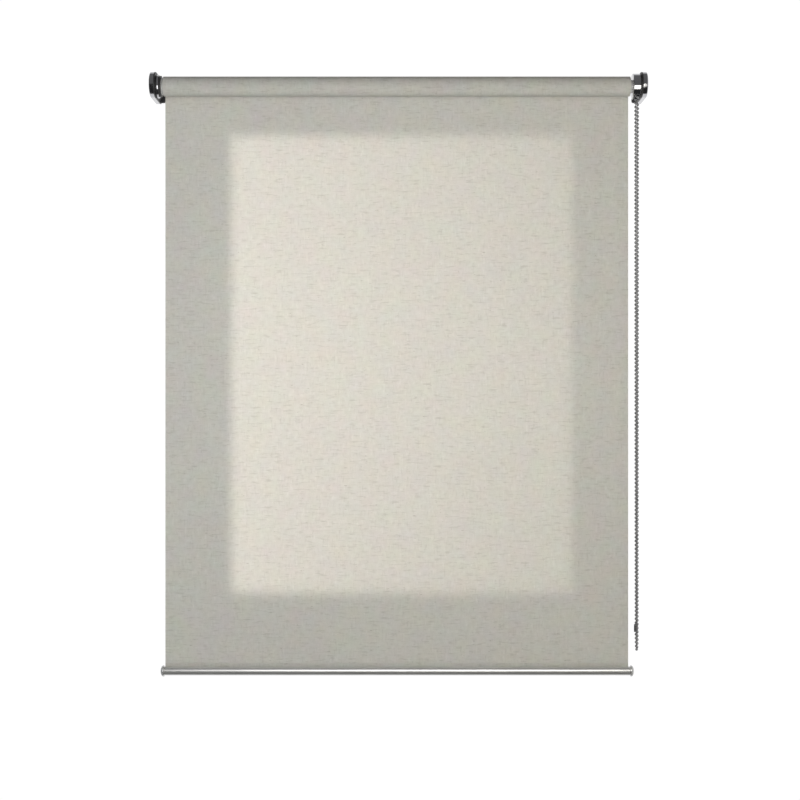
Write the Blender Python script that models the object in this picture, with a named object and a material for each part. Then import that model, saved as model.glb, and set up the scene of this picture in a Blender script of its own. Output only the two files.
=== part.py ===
"""Roller blind hung from two wall brackets and worked by an endless bead chain.

Metres, +X along the roller towards the drive side, +Y into the wall, +Z up.
The origin is the middle of the drive bracket's wall face.
"""

import math

import bmesh
import bpy
from mathutils import Matrix, Vector

GAP = 0.0003  # between pieces that touch

# Wall brackets and their covers
BRACKET_OUT = 0.068  # wall to the front of a cover
COVER_HEIGHT = 0.0395
COVER_WIDTH = 0.0088
COVER_WALL = 0.0012
COVER_ROUNDING = 0.0010
SIDE_PLATE = 0.0020
SIDE_PLATE_INNER = -0.0003  # its roller-side face, from the middle of the wall plate
COVER_INNER = SIDE_PLATE_INNER  # the cover's open rim, level with the side plate
WALL_PLATE_WIDTH = 0.0140
WALL_PLATE = 0.0030
WALL_PLATE_CORNER = 0.0030
SCREW_HOLE = 0.0021  # radius
SCREW_SPREAD = 0.0110  # each screw hole above and below the middle
SCREW_SETBACK = 0.00435  # screw holes, outwards from the middle of the wall plate
HEX_FLATS = 0.0090

# Roller
AXIS_OUT = 0.0480  # wall to the roller's axis
AXIS_DROP = 0.00225  # axis below the brackets' middle
FABRIC_WIDTH = 0.7200
FABRIC = 0.0004
FABRIC_LAYER = 0.00042
ROLL_RADIUS = 0.0153
ROLL_SEAM = 0.02  # the angle left open where the outermost layer begins
TUBE_RADIUS = 0.0140
TUBE_WALL = 0.0012
KEY_ANGLE = math.radians(130)  # the tube's outer channel, from +Y towards +Z
KEY_HALF_WIDTH = 0.0040
KEY_DEPTH = 0.0017  # channel floor below the tube's surface
NECK_RADIUS = 0.0100

# Chain clutch
CORE_FLANGE = 0.0017
CORE_FLANGE_RADIUS = 0.0189
CORE_LIP = 0.0011
CORE_RADIUS = 0.0060
GUARD_RADIUS = 0.0195
GUARD_WALL = 0.0010
GUARD_WIDTH = 0.0109
GUARD_CHAMFER = 0.0005
GUARD_MOUTH = 0.0128  # half width of the opening that the chain hangs through
NECK_LENGTH = 0.0034
CHAIN_SETBACK = 0.0041  # chain plane from the core's flange
BEAD_DIAMETER = 0.0045
BEAD_PITCH = 0.0060
WHEEL_POCKETS = 10
WHEEL_HALF_WIDTH = 0.0035
WHEEL_RIM = 0.0025  # how far the rims stand above the chain's pitch circle
DRIVE_SLEEVE = 0.0078  # radius
DRIVE_SLEEVE_LENGTH = 0.0116
PLUG_BORE = 0.0090
DRIVE_PLUG_LENGTH = 0.0335
BRAKE_SPRINGS = 2
BRAKE_TURNS = 4
BRAKE_WIRE = 0.0013
BRAKE_PITCH = 0.0018
CLIP = 0.0012
CLIP_RADIUS = 0.0085
CLIP_SEAT = 0.0050  # radius of the groove that holds the clip
CLIP_MOUTH = 0.0040

# Idle end
HUB_STEP = 0.0020
HUB_STEP_RADIUS = 0.0165
HUB_FLANGE = 0.0027
HUB_RADIUS = 0.0180
HUB_CHAMFER = 0.0003
BEARING_RADIUS = 0.0163
BEARING_WIDTH = 0.0031
BEARING_SPIGOT = 0.0070
SPIGOT_LENGTH = 0.0033
COLLAR_RADIUS = 0.0132
COLLAR_WIDTH = 0.0013
IDLE_NECK = 0.0015
IDLE_PLUG_LENGTH = 0.0340
PIN_RADIUS = 0.0030
PIN_COLLAR_RADIUS = 0.0049
PIN_COLLAR = 0.0020
PIN_GUIDE_RADIUS = 0.0025
PIN_GUIDE = 0.0037
PIN_CHAMFER = 0.0008
PIN_SHOULDER = 0.0062  # the plug's inner shoulder, from the end of the tube
PIN_CHAMBER = 0.0052  # radius
PIN_SPRING_WIRE = 0.0008
PIN_SPRING_RADIUS = 0.0037
PIN_SPRING_TURNS = 7
PIN_SPRING_LENGTH = 0.0163
SPRING_CAP = 0.0030

# Bottom bar
BAR_DROP = 0.9060  # roller axis to the middle of the bar
BAR_RADIUS = 0.00675
BAR_WALL = 0.0011
BAR_SLOT = 0.0016
BAR_PAST_FABRIC_IDLE = 0.0015
BAR_PAST_FABRIC_DRIVE = 0.0030
HEM_ROD_RADIUS = 0.0020
CAP_RADIUS = 0.00875
CAP_RIM = 0.0015
CAP_CHAMFER = 0.0004
CAP_DOME = 0.0040
CAP_STUB = 0.0100

# Bead chain: one strand from the top of the wheel to the bottom of the loop,
# as (distance from the wheel's axis towards the wall, height above the axis).
# The other strand is its mirror image.
CHAIN_STRAND = (
    (0.00020, 0.00970),
    (0.00371, 0.00896),
    (0.00686, 0.00686),
    (0.00896, 0.00371),
    (0.00970, 0.00000),
    (0.00968, -0.01200),
    (0.00960, -0.04000),
    (0.00942, -0.12000),
    (0.00915, -0.21000),
    (0.00900, -0.26200),
    (0.00845, -0.38097),
    (0.00780, -0.52156),
    (0.00710, -0.67297),
    (0.00650, -0.80274),
    (0.00630, -0.84600),
    (0.00560, -0.85720),
    (0.00360, -0.86580),
    (0.00000, -0.86980),
)
CHAIN_STEP = 0.0260
CONNECTOR_LENGTH = 0.0120
CONNECTOR_WALL = 0.0007
CONNECTOR_SLIT = 0.0014
CONNECTOR_SPAN = CHAIN_STRAND[13:15]  # the two chain points it sits between
CONNECTOR_HEIGHT = -0.8380  # its middle

ROUND = 48
SMALL_ROUND = 24

# Places worked out from the sizes above
AXIS_Y = -AXIS_OUT
AXIS_Z = -AXIS_DROP
FLANGE_OUTER = SIDE_PLATE_INNER - GAP
FLANGE_INNER = FLANGE_OUTER - CORE_FLANGE
GUARD_OUTER = FLANGE_INNER - GAP
GUARD_INNER = GUARD_OUTER - GUARD_WIDTH
NECK_OUTER = GUARD_INNER - GAP
FABRIC_DRIVE = NECK_OUTER - NECK_LENGTH
FABRIC_IDLE = FABRIC_DRIVE - FABRIC_WIDTH
CHAIN_X = FLANGE_INNER - CHAIN_SETBACK
PITCH_RADIUS = BEAD_PITCH / 2 / math.sin(math.pi / WHEEL_POCKETS)
HUB_BACK = GAP - SIDE_PLATE_INNER
HUB_FRONT = HUB_BACK + HUB_STEP + HUB_FLANGE
BEARING_BACK = HUB_FRONT + GAP
BEARING_FRONT = BEARING_BACK + BEARING_WIDTH
COLLAR_BACK = BEARING_FRONT + GAP
COLLAR_FRONT = COLLAR_BACK + COLLAR_WIDTH
IDLE_TUBE_END = COLLAR_FRONT + IDLE_NECK
IDLE_BRACKET = FABRIC_IDLE - IDLE_TUBE_END
TUBE_BORE = TUBE_RADIUS - TUBE_WALL
KEY_FLOOR = TUBE_RADIUS - KEY_DEPTH
PLUG_RADIUS = TUBE_BORE - GAP
PANEL_Y = ROLL_RADIUS - FABRIC / 2
PANEL_START = 0.0030  # below the axis, where the fabric has left the roll
BAR_BORE = BAR_RADIUS - BAR_WALL
HEM_ROD_Z = BAR_BORE - GAP - HEM_ROD_RADIUS
BAR_IDLE = FABRIC_IDLE - BAR_PAST_FABRIC_IDLE
BAR_DRIVE = FABRIC_DRIVE + BAR_PAST_FABRIC_DRIVE

CHROME = (0.62, 0.63, 0.65), 0.10, 1.0
ZINC = (0.55, 0.55, 0.57), 0.32, 1.0
ALUMINIUM = (0.70, 0.70, 0.71), 0.28, 1.0
SPRING_STEEL = (0.45, 0.45, 0.47), 0.30, 1.0
BLACK_PLASTIC = (0.03, 0.03, 0.032), 0.45, 0.0
GREY_PLASTIC = (0.55, 0.55, 0.55), 0.45, 0.0
WHITE_PLASTIC = (0.78, 0.78, 0.76), 0.50, 0.0
LINEN = (0.55, 0.54, 0.49), 0.90, 0.0


def clear_scene():
    for obj in list(bpy.data.objects):
        bpy.data.objects.remove(obj, do_unlink=True)


def empty(name, location):
    anchor = bpy.data.objects.new(name, None)
    anchor.location = location
    anchor.empty_display_size = 0.02
    bpy.context.scene.collection.objects.link(anchor)
    return anchor


def dressed(name, finish):
    colour, roughness, metallic = finish
    material = bpy.data.materials.new(name + "_finish")
    material.use_nodes = True
    shader = material.node_tree.nodes["Principled BSDF"]
    shader.inputs["Base Color"].default_value = (*colour, 1)
    shader.inputs["Roughness"].default_value = roughness
    shader.inputs["Metallic"].default_value = metallic
    return material


def place(name, data, parent, offset=(0, 0, 0)):
    obj = bpy.data.objects.new(name, data)
    obj.parent = parent
    obj.location = offset
    bpy.context.scene.collection.objects.link(obj)
    return obj


def piece(name, bm, finish, parent, offset=(0, 0, 0)):
    """Turns a bmesh into a named sub-part, smooth round its curves and crisp at its edges."""
    mesh = bpy.data.meshes.new(name)
    bm.to_mesh(mesh)
    bm.free()
    mesh.shade_smooth()
    mesh.set_sharp_from_angle(angle=math.radians(32))
    mesh.materials.append(dressed(name, finish))
    return place(name, mesh, parent, offset)


def shaped(target, bm, operation):
    """Cuts a helper shape from the target, or joins it to the target. It shares the target's place."""
    mesh = bpy.data.meshes.new(target.name + "_helper")
    bm.to_mesh(mesh)
    bm.free()
    helper = place(f"{target.name}_helper_{len(target.modifiers)}", mesh, target.parent, target.location)
    helper.hide_render = True
    helper.display_type = "WIRE"
    boolean = target.modifiers.new(operation.lower(), "BOOLEAN")
    boolean.operation = operation
    boolean.object = helper


def along_x(along, u, v):
    return along, u, v


def along_y(along, u, v):
    return u, along, v


def along_z(along, u, v):
    return u, v, along


def swept(bm, faces, shift):
    grown = bmesh.ops.extrude_face_region(bm, geom=faces)
    moved = [v for v in grown["geom"] if isinstance(v, bmesh.types.BMVert)]
    bmesh.ops.translate(bm, verts=moved, vec=shift)
    bmesh.ops.recalc_face_normals(bm, faces=bm.faces)
    return bm


def prism(outline, start, end, direction=along_x):
    """A closed outline of two coordinates, extruded along the third."""
    bm = bmesh.new()
    face = bm.faces.new([bm.verts.new(direction(start, u, v)) for u, v in outline])
    return swept(bm, [face], Vector(direction(end, 0, 0)) - Vector(direction(start, 0, 0)))


def tubular(outer, inner, start, end):
    """The ring between two outlines of as many points, extruded along X."""
    bm = bmesh.new()
    rims = [[bm.verts.new((start, y, z)) for y, z in outline] for outline in (outer, inner)]
    faces = [
        bm.faces.new((rims[0][i - 1], rims[0][i], rims[1][i], rims[1][i - 1]))
        for i in range(len(outer))
    ]
    return swept(bm, faces, (end - start, 0, 0))


def turned(profile, segments=ROUND):
    """A loop of (x, radius) points spun about X. Ends at radius 0 close on the axis."""
    bm = bmesh.new()
    verts = [bm.verts.new((x, 0, radius)) for x, radius in profile]
    solid = profile[0][1] == 0
    edges = [bm.edges.new((verts[i - 1], verts[i])) for i in range(solid, len(verts))]
    bmesh.ops.spin(
        bm, geom=verts + edges, cent=(0, 0, 0), axis=(1, 0, 0), dvec=(0, 0, 0),
        angle=math.tau, steps=segments, use_merge=True, use_duplicate=False,
    )
    bmesh.ops.remove_doubles(bm, verts=bm.verts, dist=1e-6)
    bmesh.ops.recalc_face_normals(bm, faces=bm.faces)
    return bm


def ring(start, end, inner, outer, segments=ROUND):
    return turned([(start, inner), (start, outer), (end, outer), (end, inner)], segments)


def arc(centre_u, centre_v, radius, first, last, steps):
    angles = [first + (last - first) * i / steps for i in range(steps + 1)]
    return [(centre_u + radius * math.cos(a), centre_v + radius * math.sin(a)) for a in angles]


def rounded_rectangle(half_width, half_height, corner):
    quarter = math.pi / 2
    points = []
    for i, (u, v) in enumerate(((1, 1), (-1, 1), (-1, -1), (1, -1))):
        centre = u * (half_width - corner), v * (half_height - corner)
        points += arc(*centre, corner, i * quarter, (i + 1) * quarter, 4)
    return points


def hexagon(across_flats):
    return arc(0, 0, across_flats / math.sqrt(3), 0, math.tau * 5 / 6, 5)


def side_outline(inset, back):
    """A bracket seen from the side: a round nose with straight edges running back to the wall."""
    radius = COVER_HEIGHT / 2
    nose = radius - BRACKET_OUT
    return [
        (back, radius - inset),
        *arc(nose, 0, radius - inset, math.pi / 2, math.pi * 3 / 2, 24),
        (back, inset - radius),
    ]


def keyed(radius, floor, half_width, steps=ROUND):
    """A circle with a flat-floored channel at the key angle, as (y, z) points."""
    half = math.asin(half_width / radius)
    points = arc(0, 0, radius, KEY_ANGLE + half, KEY_ANGLE + math.tau - half, steps)
    key = Matrix.Rotation(KEY_ANGLE, 2)
    return points + [tuple(key @ Vector((floor, side))) for side in (-half_width, half_width)]


def key_cutter(start, end):
    """The room a plug leaves for the inside of the tube's channel."""
    half_width = KEY_HALF_WIDTH + TUBE_WALL + GAP
    floor = KEY_FLOOR - TUBE_WALL - GAP
    corners = ((floor, -half_width), (TUBE_RADIUS, -half_width), (TUBE_RADIUS, half_width), (floor, half_width))
    key = Matrix.Rotation(KEY_ANGLE, 2)
    return prism([tuple(key @ Vector(corner)) for corner in corners], start, end)


def smooth_curve(points, step):
    """Points about a step apart on a Catmull-Rom curve through the given ones."""
    points = [Vector(p) for p in points]
    ends = [2 * points[0] - points[1], *points, 2 * points[-1] - points[-2]]
    curve = [points[0]]
    for a, b, c, d in zip(ends, ends[1:], ends[2:], ends[3:]):
        steps = max(2, round((c - b).length / step))
        for i in range(1, steps + 1):
            t = i / steps
            curve.append(
                0.5 * (2 * b + (c - a) * t + (2 * a - 5 * b + 4 * c - d) * t**2 + (3 * b - a - 3 * c + d) * t**3)
            )
    return curve


def wire(name, points, radius, roundness, finish, parent):
    """A closed tube along the points, as a poly curve with filled caps."""
    data = bpy.data.curves.new(name, "CURVE")
    data.dimensions = "3D"
    data.bevel_depth = radius
    data.bevel_resolution = roundness
    data.use_fill_caps = True
    spline = data.splines.new("POLY")
    spline.points.add(len(points) - 1)
    for control, point in zip(spline.points, points):
        control.co = (*point, 1)
    spline.use_smooth = True
    data.materials.append(dressed(name, finish))
    return place(name, data, parent)


def helix(start, radius, pitch, turns, per_turn=12):
    angles = [math.tau * i / per_turn for i in range(turns * per_turn + 1)]
    return [(start - pitch * a / math.tau, radius * math.cos(a), radius * math.sin(a)) for a in angles]


def bracket(prefix, parent, side):
    """Side plate with the hexagonal seat, joined to the wall plate with its screw holes."""
    inset = COVER_WALL + GAP
    inner = side * SIDE_PLATE_INNER
    plate = prism(side_outline(inset, -WALL_PLATE / 2), inner, inner + side * SIDE_PLATE)
    obj = piece(prefix + "_bracket", plate, ZINC, parent)
    wall_plate = rounded_rectangle(WALL_PLATE_WIDTH / 2, COVER_HEIGHT / 2 - inset, WALL_PLATE_CORNER)
    shaped(obj, prism(wall_plate, -WALL_PLATE, 0, along_y), "UNION")
    seat = [(AXIS_Y + y, AXIS_Z + z) for y, z in hexagon(HEX_FLATS + 2 * GAP)]
    shaped(obj, prism(seat, -SIDE_PLATE * 2, SIDE_PLATE * 2), "DIFFERENCE")
    for height in (-SCREW_SPREAD, SCREW_SPREAD):
        hole = arc(side * SCREW_SETBACK, height, SCREW_HOLE, 0, math.tau * 15 / 16, 15)
        shaped(obj, prism(hole, -2 * WALL_PLATE, WALL_PLATE, along_y), "DIFFERENCE")


def bracket_cover(prefix, parent, side):
    """A shell that slips over the bracket: closed on its outer side, open inwards and to the wall."""
    outer = side * (COVER_INNER + COVER_WIDTH)
    shell = prism(side_outline(0, -GAP), side * COVER_INNER, outer)
    rim = [
        edge
        for edge in shell.edges
        if all(abs(v.co.x - outer) < 1e-7 for v in edge.verts) and min(v.co.y for v in edge.verts) < -GAP * 2
    ]
    bmesh.ops.bevel(
        shell, geom=rim, offset=COVER_ROUNDING, segments=3, profile=0.5, affect="EDGES",
        material=-1, clamp_overlap=True,
    )
    obj = piece(prefix + "_bracket_cover", shell, CHROME, parent)
    hollow = prism(side_outline(COVER_WALL, WALL_PLATE), -outer, outer - side * COVER_WALL)
    shaped(obj, hollow, "DIFFERENCE")


def clutch_core(axis):
    groove = clip_groove()
    end = groove[1] - CORE_LIP * 2
    lip = GUARD_RADIUS - GUARD_WALL - GAP
    profile = [
        (FLANGE_OUTER, 0),
        (FLANGE_OUTER, CORE_FLANGE_RADIUS),
        (FLANGE_INNER, CORE_FLANGE_RADIUS),
        (FLANGE_INNER, lip),
        (FLANGE_INNER - CORE_LIP, lip),
        (FLANGE_INNER - CORE_LIP, lip - GUARD_WALL),
        (FLANGE_INNER, lip - GUARD_WALL),
        (FLANGE_INNER, CORE_RADIUS),
        (groove[0], CORE_RADIUS),
        (groove[0], CLIP_SEAT),
        (groove[1], CLIP_SEAT),
        (groove[1], CORE_RADIUS),
        (end, CORE_RADIUS),
        (end, 0),
    ]
    obj = piece("clutch_core", turned(profile), BLACK_PLASTIC, axis)
    stub = SIDE_PLATE_INNER + SIDE_PLATE - GAP
    shaped(obj, prism(hexagon(HEX_FLATS), FLANGE_OUTER - CORE_FLANGE / 2, stub), "UNION")


def clip_groove():
    """The two walls of the core's clip groove, just past the end of the drive plug."""
    outer = FABRIC_DRIVE - GAP - DRIVE_PLUG_LENGTH
    return outer, outer - CLIP - 2 * GAP


def core_clip(axis):
    outer = clip_groove()[0] - GAP
    clip = ring(outer - CLIP, outer, CLIP_SEAT + GAP, CLIP_RADIUS, 32)
    obj = piece("core_clip", clip, SPRING_STEEL, axis)
    half = CLIP_MOUTH / 2
    mouth = [(-half, 0), (half, 0), (half, -TUBE_RADIUS), (-half, -TUBE_RADIUS)]
    shaped(obj, prism(mouth, outer - 2 * CLIP, outer + CLIP), "DIFFERENCE")


def chain_guard(axis):
    """The bright drum round the chain wheel, cut away below for the two strands."""
    hole = DRIVE_SLEEVE + GAP
    bore = GUARD_RADIUS - GUARD_WALL
    disc = GUARD_INNER + GUARD_WALL
    profile = [
        (GUARD_INNER, hole),
        (GUARD_INNER, GUARD_RADIUS - GUARD_CHAMFER),
        (GUARD_INNER + GUARD_CHAMFER, GUARD_RADIUS),
        (GUARD_OUTER, GUARD_RADIUS),
        (GUARD_OUTER, bore),
        (disc, bore),
        (disc, hole),
    ]
    obj = piece("chain_guard", turned(profile), CHROME, axis)
    mouth = [(-GUARD_MOUTH, -CORE_RADIUS), (GUARD_MOUTH, -CORE_RADIUS)]
    mouth += [(GUARD_MOUTH, -2 * GUARD_RADIUS), (-GUARD_MOUTH, -2 * GUARD_RADIUS)]
    shaped(obj, prism(mouth, disc + GAP, GUARD_OUTER + GUARD_WALL), "DIFFERENCE")


def chain_wheel(axis):
    """The sprocket: a grooved rim with one pocket for each bead, and a sleeve that turns the plug."""
    bore = CORE_RADIUS + GAP
    rim = PITCH_RADIUS + WHEEL_RIM
    groove = BEAD_DIAMETER / 2 + GAP
    outer = CHAIN_X + WHEEL_HALF_WIDTH
    inner = CHAIN_X - WHEEL_HALF_WIDTH
    profile = [
        (outer, bore),
        (outer, rim),
        (CHAIN_X + groove, rim),
        *arc(CHAIN_X, PITCH_RADIUS, groove, 0, -math.pi, 8),
        (CHAIN_X - groove, rim),
        (inner, rim),
        (inner, DRIVE_SLEEVE),
        (inner - DRIVE_SLEEVE_LENGTH, DRIVE_SLEEVE),
        (inner - DRIVE_SLEEVE_LENGTH, bore),
    ]
    obj = piece("chain_wheel", turned(profile), GREY_PLASTIC, axis)
    pockets = bmesh.new()
    for i in range(WHEEL_POCKETS):
        turn = Matrix.Rotation(math.tau * i / WHEEL_POCKETS, 4, "X")
        at = turn @ Matrix.Translation((CHAIN_X, 0, PITCH_RADIUS))
        bmesh.ops.create_icosphere(pockets, subdivisions=2, radius=BEAD_PITCH / 2 - GAP / 2, matrix=at)
    shaped(obj, pockets, "DIFFERENCE")


def drive_plug(axis):
    """Carries the drive end of the tube. Its bore holds the brake springs and runs on the core."""
    shoulder = FABRIC_DRIVE - GAP
    end = shoulder - DRIVE_PLUG_LENGTH + GAP
    seat = end + (DRIVE_PLUG_LENGTH - DRIVE_SLEEVE_LENGTH) / 4
    profile = [
        (NECK_OUTER, PLUG_BORE),
        (NECK_OUTER, NECK_RADIUS),
        (shoulder, NECK_RADIUS),
        (shoulder, PLUG_RADIUS),
        (end, PLUG_RADIUS),
        (end, CORE_RADIUS + GAP),
        (seat, CORE_RADIUS + GAP),
        (seat, PLUG_BORE),
    ]
    obj = piece("drive_plug", turned(profile), GREY_PLASTIC, axis)
    shaped(obj, key_cutter(end - GAP, shoulder + GAP), "DIFFERENCE")


def brake_springs(axis):
    """Wrap springs that grip the core until the chain wheel opens them."""
    first = CHAIN_X - WHEEL_HALF_WIDTH - DRIVE_SLEEVE_LENGTH - BRAKE_WIRE / 2 - 2 * GAP
    radius = CORE_RADIUS + GAP + BRAKE_WIRE / 2
    for i in range(BRAKE_SPRINGS):
        start = first - i * (BRAKE_TURNS * BRAKE_PITCH + BRAKE_WIRE + GAP)
        points = helix(start, radius, BRAKE_PITCH, BRAKE_TURNS)
        wire(f"brake_spring_{i + 1}", points, BRAKE_WIRE / 2, 1, SPRING_STEEL, axis)


def roller_tube(axis):
    outer = keyed(TUBE_RADIUS, KEY_FLOOR, KEY_HALF_WIDTH)
    inner = keyed(TUBE_BORE, KEY_FLOOR - TUBE_WALL, KEY_HALF_WIDTH + TUBE_WALL)
    piece("roller_tube", tubular(outer, inner, FABRIC_IDLE, FABRIC_DRIVE), ALUMINIUM, axis)


def fixing_strip(axis):
    """The strip that clamps the fabric's upper edge in the tube's channel."""
    side = KEY_HALF_WIDTH - GAP
    half = math.asin(side / TUBE_RADIUS)
    floor = KEY_FLOOR + GAP
    key = Matrix.Rotation(KEY_ANGLE, 2)
    outline = [(floor, -side), *arc(0, 0, TUBE_RADIUS, -half, half, 6), (floor, side)]
    outline = [tuple(key @ Vector(point)) for point in outline]
    piece("fixing_strip", prism(outline, FABRIC_IDLE, FABRIC_DRIVE), WHITE_PLASTIC, axis)


def fabric_roll(axis):
    """The turns left on the tube: the outer face sinks by one layer round a turn."""
    steps = 56
    last = math.tau - ROLL_SEAM
    angles = [last * i / steps for i in range(steps + 1)]
    outer = []
    for angle in angles:
        radius = ROLL_RADIUS - FABRIC_LAYER * angle / math.tau
        outer.append((radius * math.cos(angle), radius * math.sin(angle)))
    inner = arc(0, 0, TUBE_RADIUS + GAP, 0, last, steps)
    piece("fabric_roll", tubular(outer, inner, FABRIC_IDLE, FABRIC_DRIVE), LINEN, axis)


def idle_hub(axis):
    """The stepped disc that stands in the idle bracket and holds the bearing."""
    floor = HUB_FRONT - SPIGOT_LENGTH
    recess = BEARING_SPIGOT + GAP
    profile = [
        (HUB_BACK, 0),
        (HUB_BACK, HUB_STEP_RADIUS),
        (HUB_BACK + HUB_STEP, HUB_STEP_RADIUS),
        (HUB_BACK + HUB_STEP, HUB_RADIUS),
        (HUB_FRONT - HUB_CHAMFER, HUB_RADIUS),
        (HUB_FRONT, HUB_RADIUS - HUB_CHAMFER),
        (HUB_FRONT, recess),
        (floor, recess),
        (floor, 0),
    ]
    obj = piece("idle_hub", turned(profile), CHROME, axis)
    stub = SIDE_PLATE_INNER + SIDE_PLATE - GAP
    shaped(obj, prism(hexagon(HEX_FLATS), -stub, HUB_BACK + HUB_STEP / 2), "UNION")


def idle_bearing(axis):
    bore = PIN_RADIUS + GAP
    spigot = HUB_FRONT - SPIGOT_LENGTH + GAP
    profile = [
        (spigot, bore),
        (spigot, BEARING_SPIGOT),
        (BEARING_BACK, BEARING_SPIGOT),
        (BEARING_BACK, BEARING_RADIUS),
        (BEARING_FRONT, BEARING_RADIUS),
        (BEARING_FRONT, bore),
    ]
    piece("idle_bearing", turned(profile), BLACK_PLASTIC, axis)


def idle_plug(axis):
    """Carries the idle end of the tube. The sprung pin slides in its bore."""
    shoulder = IDLE_TUBE_END + GAP
    end = shoulder + IDLE_PLUG_LENGTH
    profile = [
        (COLLAR_BACK, PIN_RADIUS + GAP),
        (COLLAR_BACK, COLLAR_RADIUS),
        (COLLAR_FRONT, COLLAR_RADIUS),
        (COLLAR_FRONT, NECK_RADIUS),
        (shoulder, NECK_RADIUS),
        (shoulder, PLUG_RADIUS),
        (end, PLUG_RADIUS),
        (end, PIN_CHAMBER),
        (IDLE_TUBE_END + PIN_SHOULDER, PIN_CHAMBER),
        (IDLE_TUBE_END + PIN_SHOULDER, PIN_RADIUS + GAP),
    ]
    obj = piece("idle_plug", turned(profile), GREY_PLASTIC, axis)
    shaped(obj, key_cutter(shoulder - GAP, end + GAP), "DIFFERENCE")


def pin_stations():
    """Tip, collar, spring start and spring cap of the idle pin, from the idle bracket's middle."""
    tip = HUB_FRONT - SPIGOT_LENGTH + 2 * GAP
    collar = IDLE_TUBE_END + PIN_SHOULDER + GAP
    spring = collar + PIN_COLLAR + GAP + PIN_SPRING_WIRE / 2
    cap = spring + PIN_SPRING_LENGTH + PIN_SPRING_WIRE / 2 + GAP
    return tip, collar, spring, cap


def idle_pin(axis):
    tip, collar, _, _ = pin_stations()
    back = collar + PIN_COLLAR
    profile = [
        (tip, 0),
        (tip, PIN_RADIUS - PIN_CHAMFER),
        (tip + PIN_CHAMFER, PIN_RADIUS),
        (collar, PIN_RADIUS),
        (collar, PIN_COLLAR_RADIUS),
        (back, PIN_COLLAR_RADIUS),
        (back, PIN_GUIDE_RADIUS),
        (back + PIN_GUIDE, PIN_GUIDE_RADIUS),
        (back + PIN_GUIDE, 0),
    ]
    piece("idle_pin", turned(profile, SMALL_ROUND), SPRING_STEEL, axis)


def pin_spring(axis):
    start = pin_stations()[2]
    pitch = PIN_SPRING_LENGTH / PIN_SPRING_TURNS
    points = helix(start, PIN_SPRING_RADIUS, -pitch, PIN_SPRING_TURNS)
    wire("pin_spring", points, PIN_SPRING_WIRE / 2, 1, SPRING_STEEL, axis)


def spring_cap(axis):
    start = pin_stations()[3]
    profile = [(start, 0), (start, PIN_CHAMBER - GAP), (start + SPRING_CAP, PIN_CHAMBER - GAP), (start + SPRING_CAP, 0)]
    piece("spring_cap", turned(profile, SMALL_ROUND), BLACK_PLASTIC, axis)


def fabric_panel(axis):
    top = -PANEL_START
    bottom = HEM_ROD_Z + HEM_ROD_RADIUS + GAP - BAR_DROP
    back = PANEL_Y - FABRIC / 2
    outline = [(back, top), (back + FABRIC, top), (back + FABRIC, bottom), (back, bottom)]
    piece("fabric_panel", prism(outline, FABRIC_IDLE, FABRIC_DRIVE), LINEN, axis)


def bottom_bar(bar):
    """A round slotted profile that grips the fabric's hem."""
    outer_half = math.asin(BAR_SLOT / 2 / BAR_RADIUS)
    inner_half = math.asin(BAR_SLOT / 2 / BAR_BORE)
    top = math.pi / 2
    outline = arc(0, 0, BAR_RADIUS, top + outer_half, top + math.tau - outer_half, 40)
    outline += arc(0, 0, BAR_BORE, top + math.tau - inner_half, top + inner_half, 40)
    piece("bottom_bar", prism(outline, BAR_IDLE, BAR_DRIVE), ALUMINIUM, bar)


def hem_rod(bar):
    outline = arc(0, HEM_ROD_Z, HEM_ROD_RADIUS, 0, math.tau * 15 / 16, 15)
    piece("hem_rod", prism(outline, FABRIC_IDLE, FABRIC_DRIVE), WHITE_PLASTIC, bar)


def bar_cap(name, bar, bar_end, side):
    """A domed cap with a stub that fills the bore below the hem rod."""
    inner = bar_end + side * GAP
    rim = inner + side * CAP_RIM
    dome = arc(0, 0, 1, 0, math.pi / 2, 7)
    profile = [
        (inner, 0),
        (inner, CAP_RADIUS - CAP_CHAMFER),
        (inner + side * CAP_CHAMFER, CAP_RADIUS),
        *[(rim + side * CAP_DOME * v, CAP_RADIUS * u) for u, v in dome[:-1]],
        (rim + side * CAP_DOME, 0),
    ]
    obj = piece(name, turned(profile, 32), CHROME, bar)
    radius = BAR_BORE - GAP
    level = HEM_ROD_Z - HEM_ROD_RADIUS - GAP
    level_angle = math.asin(level / radius)
    stub = arc(0, 0, radius, math.pi - level_angle, math.tau + level_angle, 16)
    shaped(obj, prism(stub, bar_end - side * CAP_STUB, inner + side * CAP_CHAMFER), "UNION")


def bead_chain(axis):
    """The whole loop as one plain tube. Its two ends meet on top of the wheel."""
    front = [(CHAIN_X, -y, z) for y, z in CHAIN_STRAND]
    back = [(CHAIN_X, y, z) for y, z in reversed(CHAIN_STRAND[:-1])]
    route = smooth_curve(front + back, CHAIN_STEP)
    wire("bead_chain", route, BEAD_DIAMETER / 2, 2, SPRING_STEEL, axis)


def chain_connector(axis):
    """The split sleeve that clips the two ends of the chain together."""
    bore = BEAD_DIAMETER / 2 + GAP
    outer = bore + CONNECTOR_WALL
    top = math.pi / 2
    outer_half = math.asin(CONNECTOR_SLIT / 2 / outer)
    inner_half = math.asin(CONNECTOR_SLIT / 2 / bore)
    outline = arc(0, 0, outer, top + outer_half, top + math.tau - outer_half, 20)
    outline += arc(0, 0, bore, top + math.tau - inner_half, top + inner_half, 20)
    sleeve = prism(outline, -CONNECTOR_LENGTH / 2, CONNECTOR_LENGTH / 2, along_z)
    upper, lower = (Vector((0, *point)) for point in CONNECTOR_SPAN)
    run = upper - lower
    share = (CONNECTOR_HEIGHT - lower.z) / run.z
    sleeve.transform(Vector((0, 0, 1)).rotation_difference(run).to_matrix().to_4x4())
    seat = lower + run * share + Vector((CHAIN_X, 0, 0))
    piece("chain_connector", sleeve, ZINC, axis, seat)


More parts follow.
